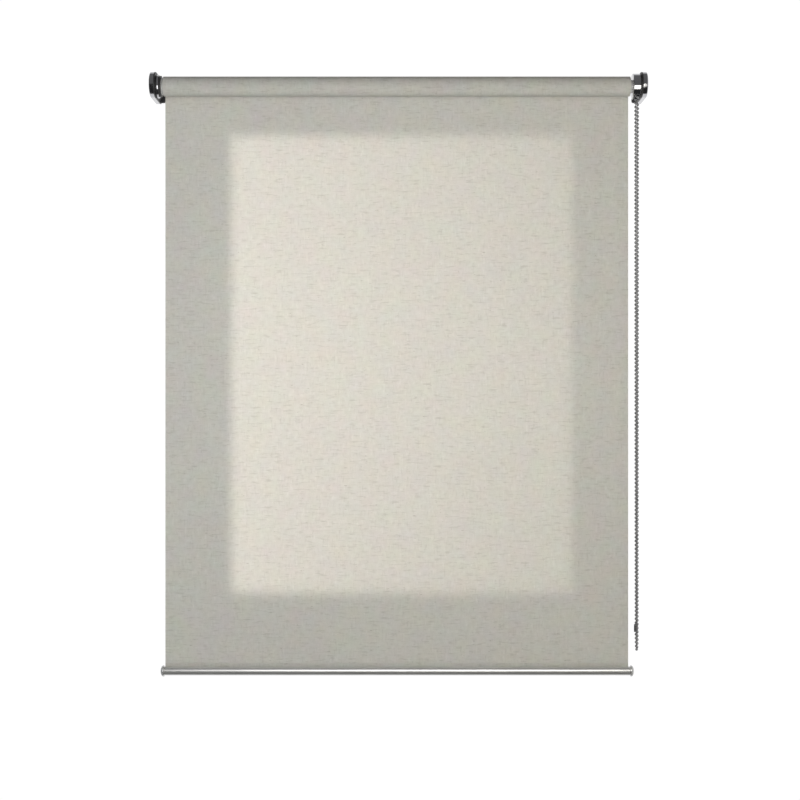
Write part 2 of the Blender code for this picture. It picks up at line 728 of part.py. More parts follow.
def main():
    clear_scene()
    drive_wall = empty("drive_wall", (0, 0, 0))
    idle_wall = empty("idle_wall", (IDLE_BRACKET, 0, 0))
    roller_axis = empty("roller_axis", (0, AXIS_Y, AXIS_Z))
    idle_axis = empty("idle_axis", (IDLE_BRACKET, AXIS_Y, AXIS_Z))
    bar_axis = empty("bar_axis", (0, AXIS_Y + PANEL_Y, AXIS_Z - BAR_DROP))

    for prefix, wall, side in (("drive", drive_wall, 1), ("idle", idle_wall, -1)):
        bracket(prefix, wall, side)
        bracket_cover(prefix, wall, side)

    for build in (clutch_core, core_clip, chain_guard, chain_wheel, drive_plug, brake_springs):
        build(roller_axis)
    for build in (roller_tube, fixing_strip, fabric_roll, fabric_panel, bead_chain, chain_connector):
        build(roller_axis)
    for build in (idle_hub, idle_bearing, idle_plug, idle_pin, pin_spring, spring_cap):
        build(idle_axis)

    bottom_bar(bar_axis)
    hem_rod(bar_axis)
    bar_cap("bar_cap_idle", bar_axis, BAR_IDLE, -1)
    bar_cap("bar_cap_drive", bar_axis, BAR_DRIVE, 1)


main()
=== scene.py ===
"""Looks of a roller blind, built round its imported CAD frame.

Everything is in metres and in the frame's own axes: +X along the roller
towards the drive side, +Y into the wall, +Z up. The origin is the middle of
the drive bracket's wall face.
"""

import bisect
import logging
import math
from collections.abc import Callable, Iterable, Sequence
from dataclasses import dataclass
from enum import Enum

import bmesh
import bpy
from mathutils import Matrix, Vector


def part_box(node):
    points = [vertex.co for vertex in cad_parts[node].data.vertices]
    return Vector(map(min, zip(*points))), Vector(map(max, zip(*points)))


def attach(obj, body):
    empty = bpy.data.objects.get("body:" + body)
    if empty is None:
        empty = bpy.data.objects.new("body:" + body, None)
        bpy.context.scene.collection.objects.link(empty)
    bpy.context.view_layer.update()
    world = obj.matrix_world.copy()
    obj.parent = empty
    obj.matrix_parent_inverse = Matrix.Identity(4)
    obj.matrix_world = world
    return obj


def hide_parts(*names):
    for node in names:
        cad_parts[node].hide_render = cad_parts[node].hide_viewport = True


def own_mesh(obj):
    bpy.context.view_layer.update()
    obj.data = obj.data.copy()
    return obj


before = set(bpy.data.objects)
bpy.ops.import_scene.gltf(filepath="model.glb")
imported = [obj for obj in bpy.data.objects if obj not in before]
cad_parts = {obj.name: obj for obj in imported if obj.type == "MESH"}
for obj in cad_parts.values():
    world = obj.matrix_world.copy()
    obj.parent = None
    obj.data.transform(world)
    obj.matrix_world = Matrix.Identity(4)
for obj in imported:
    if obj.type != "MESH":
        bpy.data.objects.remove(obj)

LOG = logging.getLogger("roller_blind")
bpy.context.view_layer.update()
GAP = 0.0003  # between two pieces that must not touch
WELD = 1e-6  # closer than this, two vertices are one
BAR_RADIUS = 0.00675
ROD_RADIUS = 0.0020

Colour = tuple[float, float, float]
Point = tuple[float, float]
Mesh = bmesh.types.BMesh
Socket = bpy.types.NodeSocket


class Body(Enum):
    """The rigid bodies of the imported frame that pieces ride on."""

    WALL = "wall_set"
    ROLLER = "roller"
    BAR = "bottom_bar"
    PIN = "idle_pin"
    CONNECTOR = "chain_connector"


class Slot(Enum):
    """The record's material slots."""

    CHROME = "chrome"
    ZINC = "zinc"
    ALUMINIUM = "aluminium"
    STEEL = "steel"
    CHAIN = "chain_metal"
    BLACK = "black_plastic"
    GREY = "grey_plastic"
    WHITE = "white_plastic"
    LINEN = "linen"


class Side(Enum):
    """The two ends of the blind, as the way that points outwards along X."""

    DRIVE = 1
    IDLE = -1


# ----- Material recipes -----


@dataclass
class Wiring:
    """A shader tree, put together one node at a time."""

    tree: bpy.types.NodeTree

    def node(self, kind: str, inputs: dict | None = None, **settings: object) -> bpy.types.Node:
        """Adds a node.

        Args:
            kind: the node's type after the "ShaderNode" prefix.
            inputs: input name or index to a value or to the socket that feeds it.
            settings: properties of the node itself.

        Returns:
            The new node.
        """
        made = self.tree.nodes.new("ShaderNode" + kind)
        for name, value in settings.items():
            setattr(made, name, value)
        for key, value in (inputs or {}).items():
            if isinstance(value, bpy.types.NodeSocket):
                self.tree.links.new(value, made.inputs[key])
            else:
                made.inputs[key].default_value = value
        return made

    def span(self, value: Socket, low: float, high: float, start: float, end: float) -> Socket:
        """Maps the values from low to high onto start to end, and clamps them."""
        given = {"Value": value, "From Min": low, "From Max": high, "To Min": start, "To Max": end}
        return self.node("MapRange", given).outputs[0]

    def sums(self, operation: str, *values: Socket | float) -> Socket:
        """Combines values with one Math operation, from left to right.

        Args:
            operation: the Math node's operation.
            values: two or more sockets or numbers.

        Returns:
            The resulting value socket.
        """
        total = values[0]
        for value in values[1:]:
            total = self.node("Math", {0: total, 1: value}, operation=operation).outputs[0]
        return total

    def blend(self, share: Socket | float, first: Socket | Colour, second: Socket | Colour,
              kind: str = "MIX") -> Socket:
        """Mixes two colours or colour sockets, by the second one's share and a blend type."""
        ends = [c if isinstance(c, bpy.types.NodeSocket) else (*c, 1) for c in (first, second)]
        return self.node("Mix", {0: share, 6: ends[0], 7: ends[1]}, data_type="RGBA",
                         blend_type=kind).outputs[2]


class Recipe(Wiring):
    """A material's shader tree."""

    def __init__(self, name: str) -> None:
        """Starts an empty material of that name."""
        self.material = bpy.data.materials.new(name)
        self.material.use_nodes = True
        super().__init__(self.material.node_tree)
        self.tree.nodes.clear()

    def place(self, scale: Sequence[float] = (1, 1, 1), uv: bool = False) -> Socket:
        """Gives a piece's Object coordinates, or its own UV map, stretched along each axis."""
        source = self.node("TexCoord").outputs["UV" if uv else "Object"]
        return self.node("Mapping", {"Vector": source, "Scale": scale}).outputs[0]

    def noise(self, space: Socket, scale: float, detail: float = 2.0, rough: float = 0.5) -> Socket:
        """Gives cloudy noise from 0 to 1, of scale repeats per metre and detail finer layers."""
        given = {"Vector": space, "Scale": scale, "Detail": detail, "Roughness": rough}
        return self.node("TexNoise", given).outputs[0]

    def relief(self, height: Socket, depth: float, strength: float = 1.0) -> Socket:
        """Turns a height from 0 to 1 into a surface normal, where 1 is depth metres."""
        return self.node("Bump", {"Height": height, "Distance": depth, "Strength": strength}).outputs[0]

    def solid(self, inputs: dict) -> bpy.types.Material:
        """Ends the tree in a Principled shader with those inputs, and returns the material."""
        return self.finish(self.node("BsdfPrincipled", inputs))

    def finish(self, shader: bpy.types.Node) -> bpy.types.Material:
        """Plugs the shader into the output and returns the material."""
        self.node("OutputMaterial", {"Surface": shader.outputs[0]})
        return self.material


@dataclass(frozen=True)
class PlatedMetal:
    """Bright plating: a clean mirror with a faint haze and hairline polishing marks."""

    name: str = "chrome_plating"
    colour: Colour = (0.60, 0.60, 0.62)
    roughness: float = 0.07
    haze: float = 0.07

    def make(self) -> bpy.types.Material:
        """Builds the material."""
        recipe = Recipe(self.name)
        space = recipe.place()
        cloud = recipe.noise(space, 60, 4)
        hairs = recipe.noise(recipe.place((300, 4000, 4000)), 1.0, 2)
        dust = recipe.noise(space, 900, 2)
        tint = recipe.blend(recipe.span(cloud, 0.35, 0.7, 0, 0.25), self.colour, (0.50, 0.50, 0.53))
        haze = recipe.span(cloud, 0.4, 0.75, self.roughness, self.roughness + self.haze)
        haze = recipe.sums("ADD", haze, recipe.span(dust, 0.6, 0.8, 0, 0.05))
        return recipe.solid({
            "Base Color": tint, "Metallic": 1.0, "Roughness": haze,
            "Normal": recipe.relief(hairs, 0.000004),
        })


@dataclass(frozen=True)
class DrawnMetal:
    """Metal with marks that run one way, such as an extrusion's draw lines."""

    name: str
    colour: Colour
    roughness: float
    grain: tuple[float, float, float]
    depth: float = 0.00001
    contrast: float = 0.12
    bare: float = 1.0

    def make(self) -> bpy.types.Material:
        """Builds the material."""
        recipe = Recipe(self.name)
        lines = recipe.noise(recipe.place(self.grain), 1.0, 3, 0.6)
        cloud = recipe.noise(recipe.place(), 25, 3)
        dark = tuple(c * (1 - 3 * self.contrast) for c in self.colour)
        worn = recipe.sums("ADD", recipe.span(lines, 0.3, 0.7, 0, 0.6),
                           recipe.span(cloud, 0.35, 0.7, 0, 0.4))
        return recipe.solid({
            "Base Color": recipe.blend(worn, self.colour, dark),
            "Metallic": self.bare,
            "Roughness": recipe.span(lines, 0.25, 0.75, self.roughness * 0.8, self.roughness * 1.3),
            "Normal": recipe.relief(lines, self.depth),
        })


@dataclass(frozen=True)
class CastMetal:
    """Die-cast zinc with a dark nickel finish: a fine skin with slight flow marks."""

    name: str = "cast_zinc"
    colour: Colour = (0.17, 0.17, 0.175)
    shade: Colour = (0.10, 0.10, 0.105)
    roughness: float = 0.34

    def make(self) -> bpy.types.Material:
        """Builds the material."""
        recipe = Recipe(self.name)
        space = recipe.place()
        skin = recipe.noise(space, 2600, 3)
        flow = recipe.noise(recipe.place((60, 25, 110)), 1.0, 4, 0.6)
        return recipe.solid({
            "Base Color": recipe.blend(recipe.span(flow, 0.3, 0.7, 0, 1), self.colour, self.shade),
            "Metallic": 1.0,
            "Roughness": recipe.span(flow, 0.3, 0.7, self.roughness, self.roughness + 0.16),
            "Normal": recipe.relief(skin, 0.00003, 0.6),
        })


@dataclass(frozen=True)
class Moulded:
    """Injection-moulded plastic with a fine spark-eroded grain and flow clouds."""

    name: str
    colour: Colour
    roughness: float = 0.42
    sheen: float = 0.5

    def make(self) -> bpy.types.Material:
        """Builds the material."""
        recipe = Recipe(self.name)
        space = recipe.place()
        grain = recipe.noise(space, 3500, 2)
        cloud = recipe.noise(space, 45, 3)
        lighter = tuple(min(1.0, c * 1.25 + 0.01) for c in self.colour)
        return recipe.solid({
            "Base Color": recipe.blend(recipe.span(cloud, 0.3, 0.75, 0, 0.6), self.colour, lighter),
            "Roughness": recipe.span(grain, 0.3, 0.7, self.roughness - 0.06, self.roughness + 0.1),
            "Specular IOR Level": self.sheen,
            "Normal": recipe.relief(grain, 0.00002, 0.7),
        })


@dataclass(frozen=True)
class SlubLinen:
    """Plain linen-look weave: uneven yarns both ways, thick slubs and a few dark flecks.

    The piece's UV map gives metres across the cloth and metres along it.
    """

    name: str = "slub_linen"
    yarn: float = 0.0007
    warp: Colour = (0.515, 0.515, 0.498)
    weft: Colour = (0.400, 0.396, 0.370)
    fleck: Colour = (0.16, 0.145, 0.12)
    glow: Colour = (0.86, 0.83, 0.78)
    through: float = 0.36

    def streaks(self, recipe: Recipe, across: float, along: float, detail: float = 2.0) -> Socket:
        """Gives noise of so many repeats per metre across the cloth and along it."""
        return recipe.noise(recipe.place((across, along, 1), uv=True), 1.0, detail, 0.6)

    def make(self) -> bpy.types.Material:
        """Builds the material."""
        recipe = Recipe(self.name)
        rate = 1 / self.yarn
        weft_yarns = self.streaks(recipe, 70, rate)
        warp_yarns = self.streaks(recipe, rate, 60)
        weft_slubs = self.streaks(recipe, 60, 360, 2)
        warp_slubs = self.streaks(recipe, 360, 75, 2)
        mottle = self.streaks(recipe, 110, 150, 4)
        flecks = self.streaks(recipe, 120, 430, 2)
        long_weft = recipe.span(weft_slubs, 0.55, 0.72, 0, 1)
        long_warp = recipe.span(warp_slubs, 0.58, 0.74, 0, 1)
        thin_warp = recipe.span(warp_slubs, 0.42, 0.28, 0, 1)
        specks = recipe.span(flecks, 0.685, 0.76, 0, 1)
        tone = recipe.sums("ADD",
                           recipe.span(weft_yarns, 0.25, 0.75, 0, 0.36),
                           recipe.span(warp_yarns, 0.25, 0.75, 0, 0.24),
                           recipe.span(mottle, 0.3, 0.7, 0, 0.40))
        cloth = recipe.blend(tone, self.warp, self.weft)
        patches = recipe.place((34, 30, 1), uv=True)
        hues = recipe.node("TexNoise", {"Vector": patches, "Scale": 1.0, "Detail": 3.0})
        cloth = recipe.blend(0.16, cloth, hues.outputs["Color"], "SOFT_LIGHT")
        for marks, share, colour in (
            (long_weft, 0.62, (0.31, 0.305, 0.28)), (long_warp, 0.52, (0.32, 0.31, 0.29)),
            (thin_warp, 0.45, (0.60, 0.60, 0.585)), (specks, 0.75, self.fleck),
        ):
            cloth = recipe.blend(recipe.sums("MULTIPLY", marks, share), cloth, colour)
        thick = recipe.sums("ADD", *(recipe.sums("MULTIPLY", marks, share) for marks, share in (
            (tone, 0.30), (long_weft, 0.26), (long_warp, 0.10), (specks, 0.5))))
        lit = recipe.blend(thick, self.glow, (0.45, 0.42, 0.37))
        height = recipe.sums("ADD", weft_yarns, warp_yarns, recipe.sums("MULTIPLY", long_weft, 0.8))
        normal = recipe.relief(height, 0.00012, 0.55)
        front = recipe.node("BsdfPrincipled", {
            "Base Color": cloth, "Roughness": 0.88, "Specular IOR Level": 0.22,
            "Sheen Weight": 0.12, "Sheen Roughness": 0.6, "Normal": normal,
        })
        behind = recipe.node("BsdfTranslucent", {"Color": lit, "Normal": normal})
        mix = {0: self.through, 1: front.outputs[0], 2: behind.outputs[0]}
        return recipe.finish(recipe.node("MixShader", mix))


@dataclass(frozen=True)
class Pale:
    """The plain pale floor."""

    name: str = "pale_floor"
    colour: Colour = (0.80, 0.80, 0.79)

    def make(self) -> bpy.types.Material:
        """Builds the material."""
        recipe = Recipe(self.name)
        cloud = recipe.noise(recipe.place(), 3, 3)
        shade = recipe.blend(recipe.span(cloud, 0.3, 0.7, 0, 1), self.colour, (0.77, 0.77, 0.76))
        return recipe.solid({"Base Color": shade, "Roughness": 0.7})


class Finishes:
    """Every finish of the blind, each made once."""

    def __init__(self) -> None:
        """Makes the slots' materials and the caps' satin plating."""
        fine = (700, 700, 700)
        looks = {
            Slot.CHROME: PlatedMetal(),
            Slot.ZINC: CastMetal(),
            Slot.ALUMINIUM: DrawnMetal("satin_aluminium", (0.72, 0.72, 0.715), 0.30, (9, 1500, 1500),
                                       0.000004, 0.04, 0.81),
            Slot.STEEL: DrawnMetal("drawn_spring_steel", (0.45, 0.45, 0.47), 0.30, (900, 900, 900)),
            Slot.CHAIN: DrawnMetal("nickel_beads", (0.52, 0.52, 0.53), 0.26, fine, 0.000008, 0.16),
            Slot.BLACK: Moulded("black_nylon", (0.018, 0.018, 0.019), 0.38),
            Slot.GREY: Moulded("grey_acetal", (0.50, 0.50, 0.50), 0.16, 0.9),
            Slot.WHITE: Moulded("white_strip", (0.76, 0.76, 0.74), 0.5, 0.4),
            Slot.LINEN: SlubLinen(),
        }
        self.slots = {slot: look.make() for slot, look in looks.items()}
        self.satin = DrawnMetal("satin_plating", (0.74, 0.74, 0.75), 0.24, fine, 0.000004, 0.05, 0.72).make()


# ----- Shaping helpers -----


def arc(centre: Point, radius: float, first: float, last: float, steps: int) -> list[Point]:
    """Gives the steps + 1 points on an arc from the first angle to the last, in radians."""
    turns = (first + (last - first) * i / steps for i in range(steps + 1))
    return [(centre[0] + radius * math.cos(a), centre[1] + radius * math.sin(a)) for a in turns]


def prism(outline: Sequence[Point], start: float, end: float) -> Mesh:
    """Extrudes an outline of (y, z) points along X.

    Args:
        outline: the outline's corners, in order.
        start: where the prism starts along X.
        end: where it ends.

    Returns:
        A closed bmesh.
    """
    bm = bmesh.new()
    face = bm.faces.new([bm.verts.new((start, y, z)) for y, z in outline])
    grown = bmesh.ops.extrude_face_region(bm, geom=[face])
    moved = [v for v in grown["geom"] if isinstance(v, bmesh.types.BMVert)]
    bmesh.ops.translate(bm, verts=moved, vec=(end - start, 0, 0))
    bmesh.ops.recalc_face_normals(bm, faces=bm.faces)
    return bm


def turned(profile: Sequence[Point], centre: Point, steps: int = 96) -> Mesh:
    """Spins a closed loop of (x, radius) points about a line along X.

    Args:
        profile: the loop, which starts and ends on the line if it is solid.
        centre: the line's y and z.
        steps: how many facets go round.

    Returns:
        A closed bmesh.
    """
    bm = bmesh.new()
    verts = [bm.verts.new((x, centre[0], centre[1] + radius)) for x, radius in profile]
    solid = profile[0][1] == 0
    edges = [bm.edges.new((verts[i - 1], verts[i])) for i in range(int(solid), len(verts))]
    bmesh.ops.spin(bm, geom=verts + edges, cent=(0, *centre), axis=(1, 0, 0), dvec=(0, 0, 0),
                   angle=math.tau, steps=steps, use_merge=True, use_duplicate=False)
    bmesh.ops.remove_doubles(bm, verts=bm.verts, dist=WELD)
    bmesh.ops.recalc_face_normals(bm, faces=bm.faces)
    return bm


def eased(bm: Mesh, width: float, segments: int, angle: float,
          chosen: Callable[[bmesh.types.BMEdge], bool] | None = None) -> Mesh:
    """Rounds the sharp edges of a closed shape.

    Args:
        bm: the shape.
        width: the bevel's width.
        segments: how many faces it has across.
        angle: edges bent by more than this many degrees are sharp.
        chosen: a further test that an edge has to pass.

    Returns:
        The same bmesh.
    """
    limit = math.radians(angle)
    edges = [
        e for e in bm.edges
        if len(e.link_faces) == 2 and e.calc_face_angle(0) > limit and (chosen is None or chosen(e))
    ]
    bmesh.ops.bevel(bm, geom=edges, offset=width, segments=segments, profile=0.5,
                    affect="EDGES", clamp_overlap=True, material=-1)
    return bm


def set_down(name: str, bm: Mesh) -> bpy.types.Object:
    """Puts a shape into the scene as an object.

    Args:
        name: the object's name.
        bm: the shape, which is used up.

    Returns:
        The new object.
    """
    mesh = bpy.data.meshes.new(name)
    bm.to_mesh(mesh)
    bm.free()
    obj = bpy.data.objects.new(name, mesh)
    bpy.context.scene.collection.objects.link(obj)
    return obj


def carved(body: Mesh, *tools: Mesh, operation: str = "DIFFERENCE") -> Mesh:
    """Cuts tools out of a shape, or joins them to it, with exact Booleans.

    Args:
        body: the shape.
        tools: the shapes to cut or join.
        operation: the Boolean's operation.

    Returns:
        A new bmesh of the result.
    """
    target, cutters = set_down("workpiece", body), [set_down("tool", tool) for tool in tools]
    for cutter in cutters:
        boolean = target.modifiers.new("cut", "BOOLEAN")
        boolean.operation, boolean.object, boolean.solver = operation, cutter, "EXACT"
    graph = bpy.context.evaluated_depsgraph_get()
    result = bmesh.new()
    result.from_mesh(target.evaluated_get(graph).to_mesh())
    for obj in (target, *cutters):
        mesh = obj.data
        bpy.data.objects.remove(obj)
        bpy.data.meshes.remove(mesh)
    bmesh.ops.remove_doubles(result, verts=result.verts, dist=WELD)
    bmesh.ops.recalc_face_normals(result, faces=result.faces)
    return result


def joined(*parts: Mesh) -> Mesh:
    """Puts several shapes into one bmesh without merging them."""
    whole = parts[0]
    for part in parts[1:]:
        mesh = bpy.data.meshes.new("part")
        part.to_mesh(mesh)
        part.free()
        whole.from_mesh(mesh)
        bpy.data.meshes.remove(mesh)
    return whole


@dataclass
class Workshop:
    """Turns bmeshes into finished, named pieces of the blind."""

    finishes: Finishes

    def piece(self, name: str, bm: Mesh, slot: Slot, body: Body, replaces: Iterable[str] = (),
              smooth: bool = False) -> bpy.types.Object:
        """Makes a piece that rides on a body.

        Args:
            name: the piece's name.
            bm: its shape, which is used up.
            slot: the record's slot for its finish.
            body: the body it rides on.
            replaces: the CAD nodes it stands for.
            smooth: shades all but the sharpest edges evenly, and keeps no face flat.

        Returns:
            The new object.
        """
        obj = set_down(name, bm)
        mesh = obj.data
        mesh.shade_smooth()
        mesh.set_sharp_from_angle(angle=math.radians(60 if smooth else 38))
        mesh.materials.append(self.finishes.slots[slot])
        if not smooth:
            obj.modifiers.new("flat_faces", "WEIGHTED_NORMAL").keep_sharp = True
        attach(obj, body.value)
        if replaces:
            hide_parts(*replaces)
        LOG.info("%s on %s: %d faces", name, body.value, len(mesh.polygons))
        return obj

    def redressed(self, node: str, slot: Slot, body: Body) -> bpy.types.Object:
        """Makes a smooth, finely dressed copy of a CAD node to stand for it.

        Args:
            node: the CAD node.
            slot: the record's slot for its finish.
            body: the body it rides on.

        Returns:
            The new object.
        """
        bm = bmesh.new()
        bm.from_mesh(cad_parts[node].data)
        bmesh.ops.remove_doubles(bm, verts=bm.verts, dist=WELD)
        bmesh.ops.dissolve_limit(bm, angle_limit=math.radians(1), verts=bm.verts, edges=bm.edges)
        bmesh.ops.recalc_face_normals(bm, faces=bm.faces)
        return self.piece(node + "_dressed", bm, slot, body, [node])


def node_size(name: str) -> tuple[Vector, Vector, Vector]:
    """Gives the lowest corner, highest corner and middle of a CAD node."""
    low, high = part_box(name)
    return low, high, (low + high) / 2


# ----- Camera, light and surroundings -----


@dataclass(frozen=True)
class Lamp:
    """A soft rectangular lamp that the camera doesn't see.

    It shines at its target in watts, in a beam of spread degrees, and a shiny
    one shows in reflections. With two sides its light goes from the first
    colour at its left to the second at its right, as the lamp looks out.
    """

    name: str
    at: tuple[float, float, float]
    target: tuple[float, float, float]
    size: Point
    power: float
    colour: Colour = (1, 1, 1)
    spread: float = 180.0
    shiny: bool = False
    sides: tuple[Colour, Colour] | None = None

    def place(self) -> None:
        """Adds the lamp to the scene."""
        data = bpy.data.lights.new(self.name, "AREA")
        data.shape, data.size, data.size_y = "RECTANGLE", *self.size
        data.energy, data.color, data.spread = self.power, self.colour, math.radians(self.spread)
        lamp = bpy.data.objects.new(self.name, data)
        lamp.location = self.at
        lamp.rotation_euler = (Vector(self.target) - Vector(self.at)).to_track_quat("-Z", "Y").to_euler()
        lamp.visible_camera = False
        lamp.visible_glossy = self.shiny
        bpy.context.scene.collection.objects.link(lamp)
        if self.sides:
            data.use_nodes = True
            tree = data.node_tree
            wiring = Wiring(tree)
            spot = wiring.node("NewGeometry").outputs["Parametric"]
            across = wiring.node("SeparateXYZ", {0: spot}).outputs["X"]
            tree.links.new(wiring.blend(across, *self.sides), tree.nodes["Emission"].inputs["Color"])
        LOG.info("%s at %s", self.name, self.at)


@dataclass
class Studio:
    """A plain pale room: the camera, soft lights, floor and surroundings."""

    eye: tuple[float, float, float] = (-0.3722, -2.298, -0.4867)
    lens: float = 65.5
    floor_level: float = -1.36
    blind_middle: tuple[float, float, float] = (-0.3722, -0.033, -0.43)
    window_size: Point = (0.530, 0.712)
    window_middle: Point = (-0.3695, -0.4315)

    def camera(self) -> None:
        """Sets the camera level with the middle of the cloth, looking at the wall."""
        data = bpy.data.cameras.new("camera")
        data.lens, data.sensor_width = self.lens, 36.0
        data.clip_start, data.clip_end = 0.05, 60.0
        camera = bpy.data.objects.new("camera", data)
        camera.location = self.eye
        camera.rotation_euler = (math.radians(90), 0, 0)
        bpy.context.scene.collection.objects.link(camera)
        bpy.context.scene.camera = camera
        LOG.info("camera at %s", self.eye)

    def lights(self) -> None:
        """Sets the front lights, their fills and the window light behind the cloth."""
        x, z = self.window_middle
        warm = (1.0, 0.985, 0.955)
        for lamp in (
            Lamp("strip_light", (-0.3025, -1.25, -0.42), (-0.3025, 0, -0.42), (1.035, 0.80), 7.6, warm,
                 shiny=True, sides=((0.86, 0.87, 0.90), (1.14, 1.13, 1.08))),
            Lamp("front_light", (-0.40, -1.40, -0.35), (-0.40, 0, -0.35), (2.6, 0.9), 7.3, warm, 130,
                 sides=((1.03, 1.04, 1.09), (0.91, 0.86, 0.745))),
            Lamp("right_fill", (1.5, -1.7, -0.45), self.blind_middle, (0.9, 1.4), 5, (1.0, 0.84, 0.35)),
            Lamp("left_fill", (-2.3, -1.7, -0.35), self.blind_middle, (0.9, 1.4), 18, (0.86, 0.96, 1.0)),
            Lamp("low_fill", (-0.37, -1.25, -1.15), (-0.37, -0.03, 0.10), (1.4, 0.4), 1.03, spread=70),
            Lamp("window_light", (x, 0.006, z), (x, -1, z), self.window_size, 2.5, (1.0, 0.965, 0.945), 50,
                 sides=((0.60, 0.60, 0.60), (1.36, 1.36, 1.36))),
        ):
            lamp.place()

    def floor(self) -> None:
        """Lays the pale floor, below what the camera sees."""
        bm = bmesh.new()
        bmesh.ops.create_grid(bm, x_segments=2, y_segments=2, size=1.6,
                              matrix=Matrix.Translation((-0.37, -0.9, self.floor_level)))
        floor = set_down("floor", bm)
        floor.data.materials.append(Pale().make())
        floor.visible_glossy = False

    def surroundings(self) -> None:
        """Gives a white backdrop behind, and a dark room in front for the metal to reflect."""
        world = bpy.data.worlds.new("studio")
        world.use_nodes = True
        world.node_tree.nodes.clear()
        wiring = Wiring(world.node_tree)
        add = wiring.node
        towards = add("SeparateXYZ", {0: add("TexCoord").outputs["Generated"]}).outputs
        tilt = wiring.sums("ARCTAN2", towards["Z"], wiring.sums("MULTIPLY", towards["Y"], -1.0))
        ramp = add("ValToRGB", {0: wiring.span(tilt, -math.pi, math.pi, 0, 1)})
        stops = ((0.0, 0.95), (0.222, 0.85), (0.246, 0.03), (0.486, 0.02), (0.51, 0.13), (0.80, 0.16),
                 (0.83, 0.75), (1.0, 0.95))
        elements = ramp.color_ramp.elements
        for _ in stops[2:]:
            elements.new(0.5)
        for element, (position, grey) in zip(elements, stops):
            element.position, element.color = position, (grey, grey, grey, 1)
        right = wiring.span(towards["X"], 0.60, 0.80, 0, 1)
        left = wiring.span(towards["X"], -0.85, -0.55, 0.12, 1)
        walls = wiring.blend(right, ramp.outputs[0], (0.62, 0.62, 0.62))
        room = add("Background", {"Color": walls, "Strength": left})
        white = add("Background", {"Color": (1, 1, 1, 1), "Strength": 1.02})
        eye = add("LightPath").outputs["Is Camera Ray"]
        mix = add("MixShader", {0: eye, 1: room.outputs[0], 2: white.outputs[0]})
        add("OutputWorld", {0: mix.outputs[0]})
        scene = bpy.context.scene
        scene.world = world
        scene.view_settings.view_transform = "Standard"
        scene.view_settings.look = "None"

    def build(self) -> None:
        """Sets the whole studio."""
        self.camera()
        self.lights()
        self.floor()
        self.surroundings()


# ----- The blind -----


